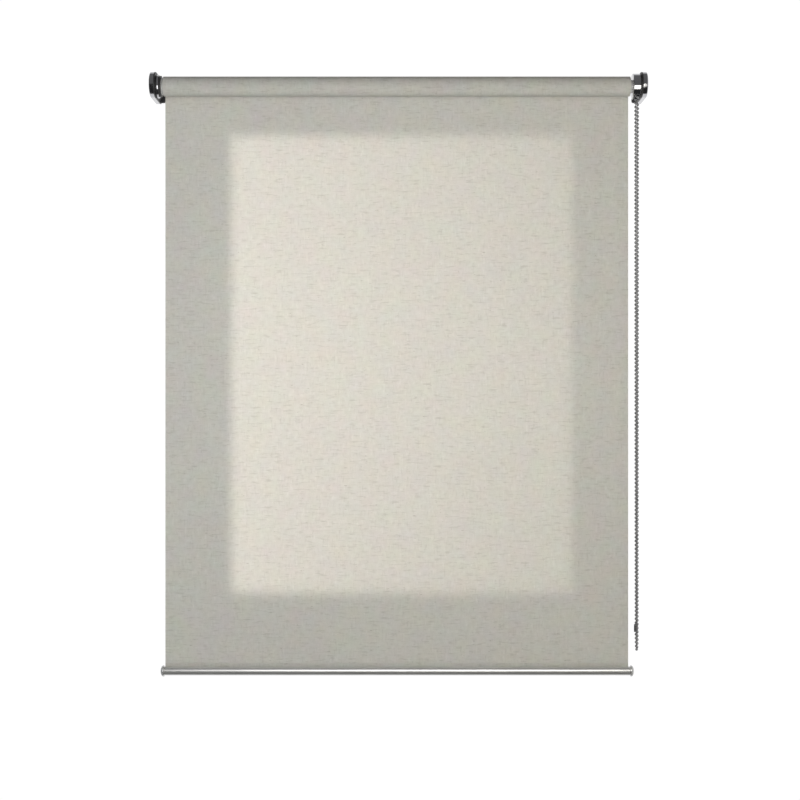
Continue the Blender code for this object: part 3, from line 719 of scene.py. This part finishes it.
@dataclass
class BeadChain:
    """The endless chain of steel beads, and the sleeve that joins its ends.

    The strand's points are (distance from the wheel's axis towards the wall,
    height above the axis), from the top of the wheel to the bottom of the loop.
    """

    shop: Workshop
    axis: Point
    plane: float
    bead: float = 0.0045
    pitch: float = 0.0060
    link: float = 0.0005
    step: float = 0.0006
    slack: float = 0.00366
    level: float = -0.4867
    connector_lean: float = 0.0046233
    strand: tuple[Point, ...] = (
        (0.00020, 0.00970), (0.00371, 0.00896), (0.00686, 0.00686), (0.00896, 0.00371),
        (0.00970, 0.00000), (0.00968, -0.01200), (0.00960, -0.04000), (0.00942, -0.12000),
        (0.00915, -0.21000), (0.00900, -0.26200), (0.00845, -0.38097), (0.00780, -0.52156),
        (0.00710, -0.67297), (0.00650, -0.80274), (0.00630, -0.84600), (0.00560, -0.85720),
        (0.00360, -0.86580), (0.00000, -0.86980),
    )

    def route(self) -> list[Vector]:
        """Gives the chain's centreline.

        Returns:
            Points on a smooth curve, down the front strand and up the back one.
        """
        y, z = self.axis
        knots = [Vector((self.plane, y - v, z + h)) for v, h in self.strand]
        knots += [Vector((self.plane, y + v, z + h)) for v, h in reversed(self.strand[:-1])]
        ends = [2 * knots[0] - knots[1], *knots, 2 * knots[-1] - knots[-2]]
        curve = [knots[0]]
        for a, b, c, d in zip(ends, ends[1:], ends[2:], ends[3:]):
            steps = max(2, round((c - b).length / self.step))
            for i in range(1, steps + 1):
                t = i / steps
                curve.append(0.5 * (2 * b + (c - a) * t + (2 * a - 5 * b + 4 * c - d) * t**2
                                    + (3 * b - a - 3 * c + d) * t**3))
        return curve

    def stations(self, curve: Sequence[Vector]) -> tuple[list[Vector], float]:
        """Spaces the beads along the chain.

        Args:
            curve: the centreline.

        Returns:
            The beads' middles, and the chain's whole length.
        """
        runs = [0.0]
        for a, b in zip(curve, curve[1:]):
            runs.append(runs[-1] + (b - a).length)
        count = round(runs[-1] / self.pitch)
        pitch = runs[-1] / count
        found, i = [], 0
        for n in range(count):
            along = (n + 0.25) * pitch
            along += self.slack * (self.height_at(curve, runs, along) - self.level)
            while runs[i + 1] < along:
                i += 1
            share = (along - runs[i]) / (runs[i + 1] - runs[i])
            found.append(curve[i].lerp(curve[i + 1], share))
        return found, runs[-1]

    @staticmethod
    def height_at(curve: Sequence[Vector], runs: Sequence[float], along: float) -> float:
        """Gives the height of the centreline at a distance along it."""
        return curve[min(bisect.bisect_left(runs, along), len(curve) - 1)].z

    def chain(self, connector: bpy.types.Object) -> None:
        """Strings the beads on their links.

        Args:
            connector: the sleeve that rides on the chain; not used.
        """
        curve = self.route()
        beads, length = self.stations(curve)
        bm = bmesh.new()
        for here, there in zip(beads, beads[1:] + beads[:1]):
            turn = Vector((0, 0, 1)).rotation_difference(there - here).to_matrix().to_4x4()
            at = Matrix.Translation(here) @ turn
            bmesh.ops.create_uvsphere(bm, u_segments=8, v_segments=6, radius=self.bead / 2, matrix=at)
            middle = Matrix.Translation((here + there) / 2) @ turn
            bmesh.ops.create_cone(bm, cap_ends=False, segments=5, radius1=self.link, radius2=self.link,
                                  depth=(there - here).length, matrix=middle)
        bmesh.ops.recalc_face_normals(bm, faces=bm.faces)
        chain = self.shop.piece("bead_strand", bm, Slot.CHAIN, Body.WALL, ["bead_chain"], smooth=True)
        LOG.info("chain of %d beads, %.3f m", len(beads), length)

    def connector(self) -> bpy.types.Object:
        """Makes the split sleeve, with a rolled lip at each end and two crimps.

        Returns:
            The sleeve's object.
        """
        low, high, middle = node_size("chain_connector")
        outer, bore, half = self.bead / 2 + 0.0010, self.bead / 2 + GAP, (high.z - low.z) / 2 - 0.0001
        lip, crimp, swell, gap = 0.00018, outer - 0.00022, outer - 0.00008, 0.0007
        rolled = [(half, outer), (half - 0.0006, outer), (half - 0.0009, crimp), (half - 0.0016, crimp),
                  (half - 0.0019, swell)]
        profile = [(-half, bore + lip), (-half + lip, bore), (half - lip, bore), (half, bore + lip),
                   *rolled, *((-x, radius) for x, radius in reversed(rolled))]
        slit = prism([(bore / 2, -gap), (outer * 2, -gap), (outer * 2, gap), (bore / 2, gap)],
                     -half * 2, half * 2)
        sleeve = carved(turned(profile, (0, 0), 32), slit)
        upright = Matrix.Rotation(math.radians(-90), 4, "Y")
        strand = Vector((0, self.connector_lean, 1))
        lean = Vector((0, 0, 1)).rotation_difference(strand).to_matrix().to_4x4()
        turn = Matrix.Rotation(math.radians(120), 4, "Z")
        place = Matrix.Translation(middle) @ lean @ turn @ upright
        bmesh.ops.transform(sleeve, matrix=place, verts=sleeve.verts)
        joiner = self.shop.piece("chain_joiner", sleeve, Slot.ZINC, Body.CONNECTOR, ["chain_connector"])
        joiner.data.materials[0] = self.shop.finishes.slots[Slot.CHAIN]
        return joiner

    def build(self) -> None:
        """Makes the chain and its joiner."""
        self.chain(self.connector())


@dataclass
class WallBracket:
    """One end's side plate and wall plate, with the plated cover over them."""

    shop: Workshop
    side: Side
    prefix: str
    wall: float = 0.0012
    rounding: float = 0.0016
    edge: float = 0.00018
    # width of the cover's band at its inner opening that is painted black as shade
    lip: float = 0.0019
    screw_radius: float = 0.0021
    screw_head: float = 0.0040
    screw_spread: float = 0.0110
    screw_setback: float = 0.00435
    wall_plate: float = 0.0030
    wall_plate_width: float = 0.0140
    corner: float = 0.0030

    @staticmethod
    def outline(radius: float, nose: float, back: float, steps: int = 64) -> list[Point]:
        """Gives the side view: a round nose about y = nose, and straight edges to y = back."""
        return [(back, radius), *arc((nose, 0), radius, math.pi / 2, math.pi * 1.5, steps), (back, -radius)]

    def cover(self) -> None:
        """Makes the plated shell, closed on its outer side and open inwards and to the wall. Its band next
        to the inner opening is black, as painted shade.
        """
        low, high, _ = node_size(self.prefix + "_bracket_cover")
        inner, outer = (low.x, high.x) if self.side is Side.DRIVE else (high.x, low.x)
        radius = (high.z - low.z) / 2
        nose = low.y + radius
        out, past = self.side.value, 0.01
        shell = prism(self.outline(radius, nose, high.y), inner, outer)
        eased(shell, self.rounding, 5, 50, lambda e: all(abs(v.co.x - outer) < WELD for v in e.verts)
              and min(v.co.y for v in e.verts) < high.y - 1e-4)
        reach = outer - out * self.wall
        hollow = prism(self.outline(radius - self.wall, nose, high.y + past), inner - out * past, reach)
        eased(hollow, self.rounding * 0.5, 3, 50, lambda e: all(abs(v.co.x - reach) < WELD for v in e.verts))
        shell = eased(carved(shell, hollow), self.edge, 2, 55)
        # The shell's band within lip of its inner opening gets the black material: painted shade where the
        # inside of the rim falls into shadow.
        painted_shade_edge = inner + out * self.lip
        bmesh.ops.bisect_plane(shell, geom=[*shell.verts, *shell.edges, *shell.faces], dist=1e-7,
                               plane_co=(painted_shade_edge, 0, 0), plane_no=(1, 0, 0))
        for face in shell.faces:
            face.material_index = int((face.calc_center_median().x - painted_shade_edge) * out < 0)
        cover = self.shop.piece(self.prefix + "_cover", shell, Slot.CHROME, Body.WALL,
                                [self.prefix + "_bracket_cover"])
        cover.data.materials.append(self.shop.finishes.slots[Slot.BLACK])

    def plates(self) -> None:
        """Makes the side plate and the wall plate with its countersunk screw holes."""
        low, high, _ = node_size(self.prefix + "_bracket")
        out, thick, hole = self.side.value, self.wall_plate, self.screw_radius
        middle, radius = (low.x + high.x) / 2, (high.z - low.z) / 2
        plate = prism(self.outline(radius, low.y + radius, -thick / 2, 48),
                      middle - out * 0.0003, middle + out * 0.0017)
        back = bmesh.new()
        bmesh.ops.create_cube(back, size=1, matrix=Matrix.Translation((middle, -thick / 2, 0))
                              @ Matrix.Diagonal((self.wall_plate_width, thick, 2 * radius, 1)))
        corners = [e for e in back.edges if abs(e.verts[0].co.y - e.verts[1].co.y) > thick / 2]
        bmesh.ops.bevel(back, geom=corners, offset=self.corner, segments=5, profile=0.5, affect="EDGES",
                        clamp_overlap=True, material=-1)
        drills = []
        for height in (-self.screw_spread, self.screw_spread):
            drill = turned([(-0.008, 0), (-0.008, self.screw_head + 0.003),
                            (-thick - 0.0001, self.screw_head), (-thick + 0.0018, hole),
                            (0.004, hole), (0.004, 0)], (0, 0), 32)
            place = Matrix.Translation((middle + out * self.screw_setback, 0, height))
            quarter = Matrix.Rotation(math.radians(90), 4, "Z")
            bmesh.ops.transform(drill, matrix=place @ quarter, verts=drill.verts)
            drills.append(drill)
        whole = eased(carved(carved(plate, back, operation="UNION"), *drills), 0.00022, 2, 50)
        self.shop.piece(self.prefix + "_plates", whole, Slot.ZINC, Body.WALL, [self.prefix + "_bracket"])

    def build(self) -> None:
        """Makes the bracket and its cover."""
        self.cover()
        self.plates()


@dataclass
class ChainClutch:
    """The drive end: the fixed core, the drum round the chain wheel, and the plug in the tube."""

    shop: Workshop
    axis: Point
    shoulder: float = 0.0013
    wall: float = 0.0010
    hole: float = 0.0081
    mouth_half: float = 0.0128
    mouth_drop: float = 0.0060

    def drum(self) -> None:
        """Makes the bright drum, open below for the two strands."""
        low, high, _ = node_size("chain_guard")
        radius, soft, edge = (high.y - low.y) / 2, self.shoulder, 0.0002
        inside, (y, z) = radius - self.wall, self.axis
        profile = [
            (low.x, self.hole),
            *((low.x + soft + u, radius - soft + v) for u, v in arc((0, 0), soft, math.pi, math.pi / 2, 7)),
            (high.x - edge, radius), (high.x, radius - edge),
            (high.x, inside), (low.x + self.wall, inside), (low.x + self.wall, self.hole),
        ]
        left, right = y - self.mouth_half, y + self.mouth_half
        top, below = z - self.mouth_drop, z - 2 * radius
        mouth = prism([(left, top), (right, top), (right, below), (left, below)],
                      low.x + self.wall + GAP, high.x + 0.002)
        drum = eased(carved(turned(profile, self.axis, 128), mouth), 0.00015, 2, 60)
        self.shop.piece("chain_drum", drum, Slot.CHROME, Body.WALL, ["chain_guard"])

    def build(self) -> None:
        """Makes the drum, the fixed core and what turns on it."""
        self.drum()
        self.shop.redressed("clutch_core", Slot.BLACK, Body.WALL)
        self.shop.redressed("chain_wheel", Slot.GREY, Body.ROLLER)
        self.shop.redressed("drive_plug", Slot.GREY, Body.ROLLER)
        self.shop.redressed("core_clip", Slot.STEEL, Body.WALL)
        for i in (1, 2):
            self.shop.redressed(f"brake_spring_{i}", Slot.STEEL, Body.ROLLER)


@dataclass
class IdleEnd:
    """The idle end: hub, bearing ring, plug and sprung pin."""

    shop: Workshop
    axis: Point
    depth: float = 0.0047
    disc: float = 0.0027
    boss: float = 0.0165
    socket: float = 0.0073
    socket_depth: float = 0.0033
    # radii of the neck groove's band that is painted black as shade
    painted_shade_edge: Point = (0.0150, 0.0176)

    def hub(self) -> None:
        """Makes the stepped disc with its softened rims; the faces of its neck groove take the black
        material as painted shade.
        """
        low, high, _ = node_size("idle_hub")
        front, radius, rim = high.x, (high.y - low.y) / 2, 0.0003
        back, step = front - self.depth, front - self.disc
        profile = [
            (back, 0), (back, self.boss - 0.0002), (back + 0.0002, self.boss), (step, self.boss),
            (step, radius - rim), (step + rim, radius), (front - 0.0005, radius),
            (front - 0.0001, radius - rim), (front, radius - 0.0007),
            (front, self.boss + rim), (front - rim, self.boss + 0.0001), (front - rim, self.socket),
            (front - self.socket_depth, self.socket), (front - self.socket_depth, 0),
        ]
        hub = turned(profile, self.axis, 96)
        # Faces of the neck groove between these radii get the black material: painted shade where the groove
        # lies in the cover's shadow.
        for face in hub.faces:
            spot = face.calc_center_median()
            reach = math.hypot(spot.y - self.axis[0], spot.z - self.axis[1])
            face.material_index = int(spot.x < step + 0.0001 and self.painted_shade_edge[0] < reach < self.painted_shade_edge[1])
        disc = self.shop.piece("idle_disc", hub, Slot.CHROME, Body.WALL, ["idle_hub"])
        disc.data.materials.append(self.shop.finishes.slots[Slot.BLACK])

    def spring(self) -> None:
        """Makes the pin's spring, with a mesh of its own."""
        spring = self.shop.redressed("pin_spring", Slot.STEEL, Body.ROLLER)
        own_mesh(spring)

    def build(self) -> None:
        """Makes the idle end."""
        self.hub()
        self.shop.redressed("idle_bearing", Slot.BLACK, Body.WALL)
        self.shop.redressed("idle_plug", Slot.GREY, Body.ROLLER)
        self.shop.redressed("idle_pin", Slot.STEEL, Body.PIN)
        self.spring()
        self.shop.redressed("spring_cap", Slot.BLACK, Body.ROLLER)


@dataclass
class Cloth:
    """The linen: what is wound on the tube, what hangs, and the hem in the bar."""

    shop: Workshop
    axis: Point
    bar: Point
    start: float
    end: float
    thickness: float = 0.0004
    layer: float = 0.00042
    outer: float = 0.0151
    inner: float = 0.0142
    hem_above_bar: float = 0.0055
    curl: float = 0.0003
    curl_width: float = 0.045
    ripple: float = 0.00022

    def grid_sheet(self, line: Sequence[Point], runs: Sequence[float], columns: int,
                   bow: Callable[[float, float], float] | None = None) -> Mesh:
        """Sweeps a line of (y, z) points across the cloth's width, with a UV map in metres.

        Args:
            line: the cloth's section, as seen from the side.
            runs: how far along the cloth each of those points is.
            columns: how many faces go across.
            bow: gives a point's shift along Y from its place across and its height.

        Returns:
            An open, single-layer bmesh.
        """
        bm = bmesh.new()
        along = bm.verts.layers.float.new("along")
        verts = [bm.verts.new((self.start, y, z)) for y, z in line]
        for vert, run in zip(verts, runs):
            vert[along] = run
        edges = [bm.edges.new(pair) for pair in zip(verts, verts[1:])]
        bmesh.ops.spin(bm, geom=verts + edges, cent=(0, 0, 0), axis=(1, 0, 0), angle=0, steps=columns,
                       dvec=((self.end - self.start) / columns, 0, 0), use_merge=False, use_duplicate=False)
        layer = bm.loops.layers.uv.new("cloth")
        for face in bm.faces:
            for loop in face.loops:
                loop[layer].uv = (loop.vert.co.x - self.start, loop.vert[along])
        bmesh.ops.recalc_face_normals(bm, faces=bm.faces)
        if bow:
            for vert in bm.verts:
                vert.co.y += bow(vert.co.x, vert.co.z)
        return bm

    def thicken(self, obj: bpy.types.Object) -> None:
        """Gives a cloth piece its thickness, half to each side, with crisp cut edges."""
        bm = bmesh.new()
        bm.from_mesh(obj.data)
        for edge in bm.edges:
            edge.smooth = not edge.is_boundary
        bm.to_mesh(obj.data)
        bm.free()
        solid = obj.modifiers.new("thickness", "SOLIDIFY")
        solid.thickness, solid.offset = self.thickness, 0.0

    def roll(self) -> None:
        """Winds the turns left on the tube as one spiral sheet."""
        turns = (self.outer - self.inner) / self.layer
        steps = round(turns * 72)
        line, runs, run = [], [], 0.0
        y0, z0 = self.axis
        for i in range(steps + 1):
            angle = math.tau * turns * i / steps
            radius = self.outer - self.layer * angle / math.tau
            line.append((y0 + radius * math.cos(angle), z0 + radius * math.sin(angle)))
            if i:
                run += math.dist(line[-1], line[-2])
            runs.append(run)
        bm = self.grid_sheet(line, runs, 16)
        roll = self.shop.piece("cloth_roll", bm, Slot.LINEN, Body.ROLLER, ["fabric_roll"], smooth=True)
        self.thicken(roll)

    def hem(self) -> bpy.types.Object:
        """Folds the hem round its rod and doubles it above the bar.

        Returns:
            The hem's object.
        """
        y0, z0 = self.bar
        _, _, rod = node_size("hem_rod")
        top = z0 + BAR_RADIUS + self.hem_above_bar
        gap, heights = self.thickness * 0.55, (0.0090, 0.0066, 0.0058)
        line = [(y0 - gap, top + 0.0002), *((y0 - gap, z0 + height) for height in heights)]
        line += arc((rod.y, rod.z), ROD_RADIUS + GAP * 0.5, math.radians(98), math.radians(442), 16)
        line += [*((y0 + gap, z0 + height) for height in reversed(heights)), (y0 + gap, top)]
        runs, run = [], -self.hem_above_bar
        for i, point in enumerate(line):
            if i:
                run -= math.dist(point, line[i - 1])
            runs.append(run)
        bm = self.grid_sheet(line, runs, 24)
        hem = self.shop.piece("cloth_hem", bm, Slot.LINEN, Body.BAR, smooth=True)
        self.thicken(hem)
        return hem

    def panel(self, hem: bpy.types.Object) -> None:
        """Hangs the cloth from the back of the roll down to the hem.

        Args:
            hem: the hem that goes with it; not used.
        """
        y0, top = self.axis
        bottom = self.bar[1] + BAR_RADIUS + self.hem_above_bar
        rows = 96
        line = [(y0 + self.outer, top + (bottom - top) * i / rows) for i in range(rows + 1)]
        runs = [-(top - z) for _, z in line]

        def bow(x: float, z: float) -> float:
            """Curls the cut edges slightly and lets the cloth belly a little between its ends."""
            down = (top - z) / (top - bottom)
            hold = math.sin(math.pi * min(1.0, max(0.0, down)))
            edge = min(x - self.start, self.end - x) / self.curl_width
            curl = self.curl * math.exp(-edge * edge * 1.5)
            ripple = self.ripple * math.sin(17 * x + 1.3) * math.cos(5.1 * z + 0.4)
            return hold * (curl + ripple)

        bm = self.grid_sheet(line, runs, 96, bow)
        panel = self.shop.piece("cloth_panel", bm, Slot.LINEN, Body.WALL, ["fabric_panel"], smooth=True)
        self.thicken(panel)
        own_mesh(panel)

    def build(self) -> None:
        """Makes the roll, the hem and the panel."""
        self.roll()
        self.panel(self.hem())


@dataclass
class Roller:
    """The grooved tube and the strip that clamps the cloth in it."""

    shop: Workshop

    def build(self) -> None:
        """Makes the tube and its strip."""
        self.shop.redressed("roller_tube", Slot.ALUMINIUM, Body.ROLLER)
        self.shop.redressed("fixing_strip", Slot.WHITE, Body.ROLLER)


@dataclass
class BottomBar:
    """The round slotted bar with its domed end caps."""

    shop: Workshop
    axis: Point
    radius: float = BAR_RADIUS
    bore: float = 0.00565
    slot: float = 0.0016
    cap_radius: float = 0.00875
    dome: float = 0.0040
    band: float = 0.0015
    stub: float = 0.0097
    rod_rise: float = 0.00335

    def profile(self) -> None:
        """Makes the extruded bar, with softened lips along its slot."""
        low, high, _ = node_size("bottom_bar")
        y0, z0 = self.axis
        top, lip = math.pi / 2, 0.00025
        outer = math.asin((self.slot / 2 + lip) / self.radius)
        inner = math.asin(self.slot / 2 / self.bore)
        corner = z0 + math.sqrt(self.radius**2 - self.slot**2 / 4) - lip
        line = [*arc(self.axis, self.radius, top + outer, top + math.tau - outer, 120),
                (y0 + self.slot / 2, corner),
                *arc(self.axis, self.bore, top + math.tau - inner, top + inner, 72),
                (y0 - self.slot / 2, corner)]
        bar = prism(line, low.x, high.x)
        eased(bar, 0.00012, 1, 60, lambda e: abs(e.verts[0].co.x - e.verts[1].co.x) < WELD)
        self.shop.piece("bar_profile", bar, Slot.ALUMINIUM, Body.BAR, ["bottom_bar"])

    def cap(self, name: str, side: Side) -> None:
        """Makes a domed cap with the stub that holds it in the bar.

        Args:
            name: the CAD node it stands for.
            side: which end of the bar it closes.
        """
        low, high, _ = node_size(name)
        out = side.value
        tip = high.x if side is Side.DRIVE else low.x
        rim, inner = tip - out * self.dome, tip - out * (self.dome + self.band)
        radius, notch = self.cap_radius, self.cap_radius - 0.00018
        curve = arc((0, 0), 1, 0.0, math.pi / 2, 20)
        profile = [
            (inner, 0), (inner, radius - 0.0005), (inner + out * 0.00015, radius - 0.00015),
            (inner + out * 0.0004, radius), (rim - out * 0.0005, radius),
            (rim - out * 0.0004, notch), (rim - out * 0.0001, notch),
            *((rim + out * self.dome * v, (radius - 0.0001) * u) for u, v in curve[:-1]),
            (tip, 0),
        ]
        reach = self.bore - GAP
        angle = math.asin((self.rod_rise - ROD_RADIUS - GAP) / reach)
        stub = prism(arc(self.axis, reach, math.pi - angle, math.tau + angle, 40),
                     inner - out * self.stub, inner + out * 0.0004)
        whole = joined(turned(profile, self.axis, 64), stub)
        cap = self.shop.piece(name + "_dome", whole, Slot.CHROME, Body.BAR, [name])
        cap.data.materials[0] = self.shop.finishes.satin

    def build(self) -> None:
        """Makes the bar, its rod and its caps."""
        self.profile()
        self.shop.redressed("hem_rod", Slot.WHITE, Body.BAR)
        self.cap("bar_cap_idle", Side.IDLE)
        self.cap("bar_cap_drive", Side.DRIVE)


def main() -> None:
    """Builds the studio and then the blind, sub-assembly by sub-assembly."""
    logging.basicConfig(level=logging.INFO, format="%(name)s: %(message)s")
    Studio().build()
    shop = Workshop(Finishes())
    tube_low, tube_high, _ = node_size("roller_tube")
    _, _, bar = node_size("bottom_bar")
    _, _, core = node_size("clutch_core")
    axis, bar_axis = (core.y, core.z), (bar.y, bar.z)
    LOG.info("roller axis %s, bar axis %s", axis, bar_axis)
    BeadChain(shop, axis, plane=-0.0064).build()
    WallBracket(shop, Side.DRIVE, "drive").build()
    WallBracket(shop, Side.IDLE, "idle").build()
    ChainClutch(shop, axis).build()
    IdleEnd(shop, axis).build()
    Roller(shop).build()
    Cloth(shop, axis, bar_axis, tube_low.x, tube_high.x).build()
    BottomBar(shop, bar_axis).build()


if __name__ == "__main__":
    main()
